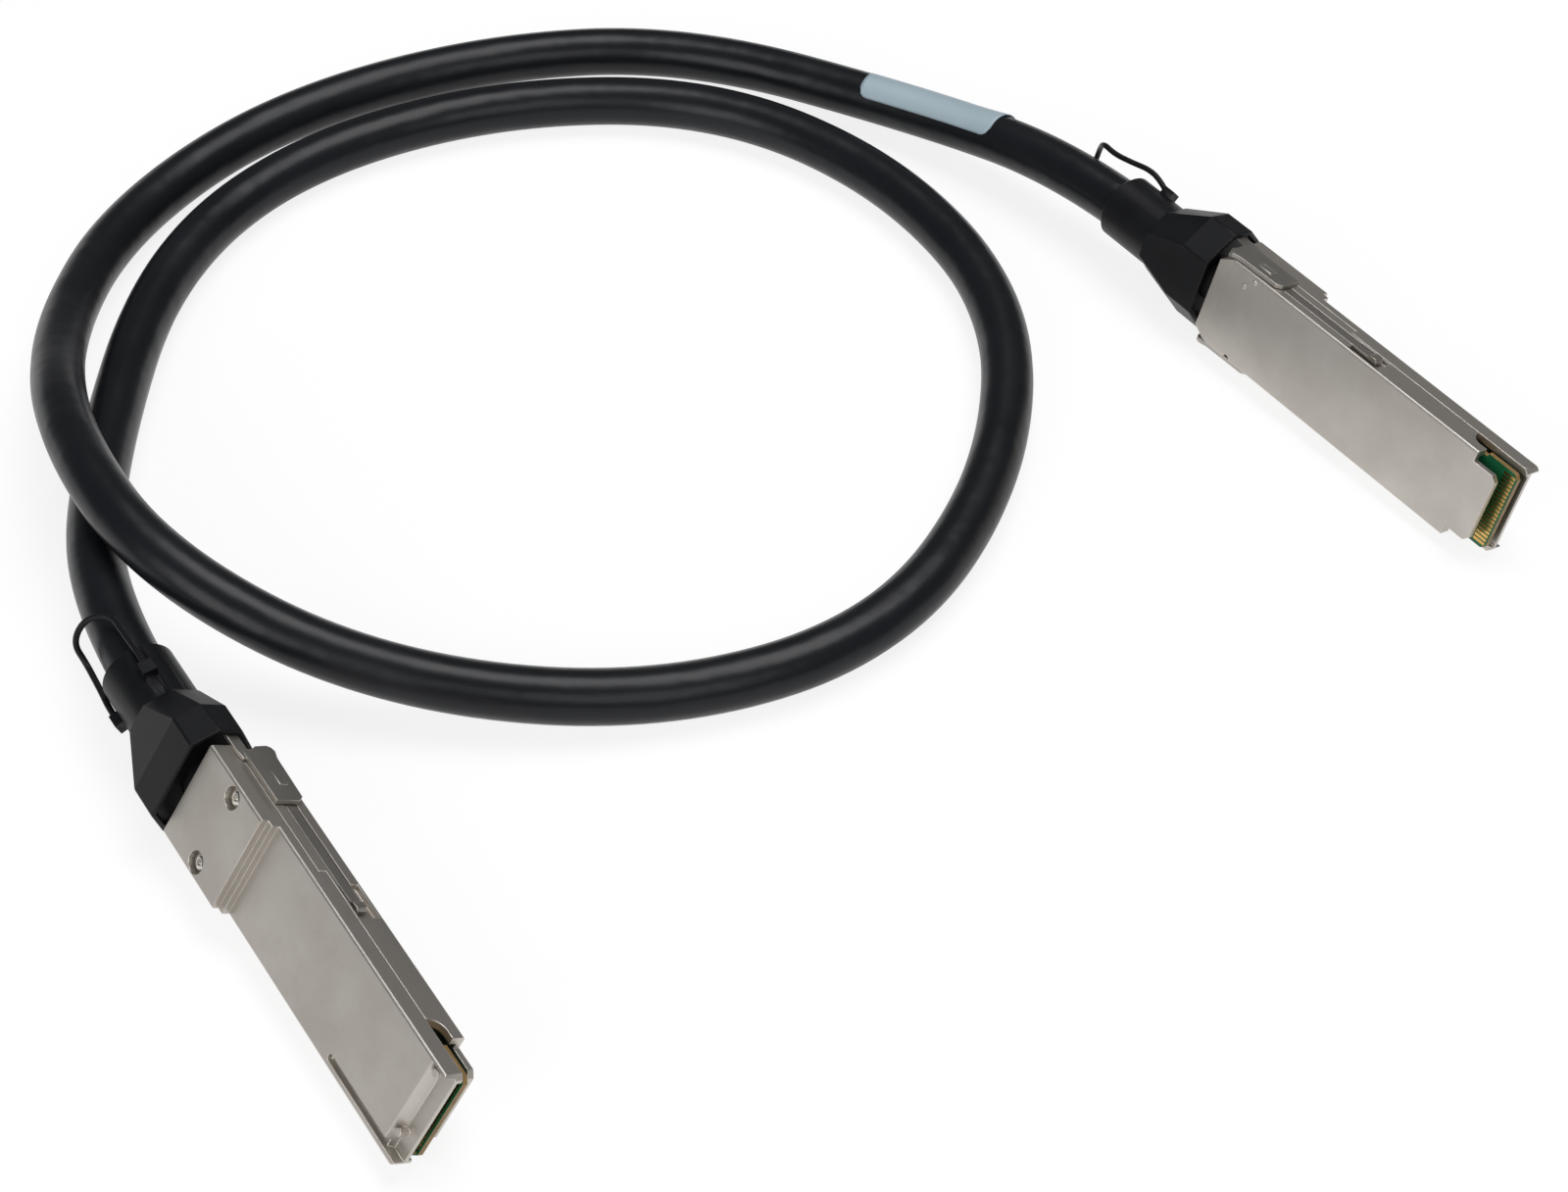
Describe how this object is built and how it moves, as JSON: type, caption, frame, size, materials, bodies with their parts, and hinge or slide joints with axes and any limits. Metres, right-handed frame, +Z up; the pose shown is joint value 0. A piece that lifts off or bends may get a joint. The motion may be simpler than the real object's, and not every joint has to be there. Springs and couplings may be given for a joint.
{
  "type": "direct attach copper cable",
  "caption": "Short twin-axial copper cable laid in a loop, with a stepped metal plug and a sliding latch with pull loop at each end.",
  "frame": {"origin": "centre of the two plugs' box, on the surface that the cable lies on", "axes": "+X to the right along the plugs' longer extent, +Y away across the loop, +Z up"},
  "size_m": [0.272, 0.2802, 0.0265],
  "materials": {
    "shell_metal": "satin nickel-plated die casting",
    "slider_steel": "satin",
    "screw_steel": "polished",
    "spring_steel": "bright",
    "card_green": "solder mask",
    "contact_gold": "gold plated",
    "chip_black": "matte",
    "capacitor_tan": "matte",
    "pair_insulation": "foil wrapped",
    "ferrule_brass": "satin",
    "relief_plastic": "matte",
    "sleeve_plastic": "matte",
    "jacket_plastic": "semi-gloss",
    "label_film": "satin film"
  },
  "bodies": {
    "plugs_and_cable": {"top_shell_a": "shell_metal", "bottom_shell_a": "shell_metal", "shell_screws_a": "screw_steel", "paddle_card_a": "card_green", "contact_fingers_a": "contact_gold", "memory_chip_a": "chip_black", "coupling_capacitors_a": "capacitor_tan", "signal_pairs_a": "pair_insulation", "crimp_ferrule_a": "ferrule_brass", "strain_relief_a": "relief_plastic", "return_springs_a": "spring_steel", "top_shell_b": "shell_metal", "bottom_shell_b": "shell_metal", "shell_screws_b": "screw_steel", "paddle_card_b": "card_green", "contact_fingers_b": "contact_gold", "memory_chip_b": "chip_black", "coupling_capacitors_b": "capacitor_tan", "signal_pairs_b": "pair_insulation", "crimp_ferrule_b": "ferrule_brass", "strain_relief_b": "relief_plastic", "return_springs_b": "spring_steel", "cable_jacket": "jacket_plastic", "label_wrap": "label_film"},
    "latch_a": {"latch_slider_a": "slider_steel", "release_sleeve_a": "sleeve_plastic", "pull_loop_a": "sleeve_plastic"},
    "latch_b": {"latch_slider_b": "slider_steel", "release_sleeve_b": "sleeve_plastic", "pull_loop_b": "sleeve_plastic"}
  },
  "joints": [
    {"name": "pull_release_a", "type": "slide", "parent": "plugs_and_cable", "child": "latch_a", "axis": [-0.5447, 0.8381, 0.0316], "range_m": [0, 0.002], "stiffness_N_per_m": 800, "springref_m": -0.004, "deforming": ["return_springs_a"]},
    {"name": "pull_release_b", "type": "slide", "parent": "plugs_and_cable", "child": "latch_b", "axis": [-0.6007, 0.7989, 0.0314], "range_m": [0, 0.002], "stiffness_N_per_m": 800, "springref_m": -0.004, "deforming": ["return_springs_b"]}
  ]
}
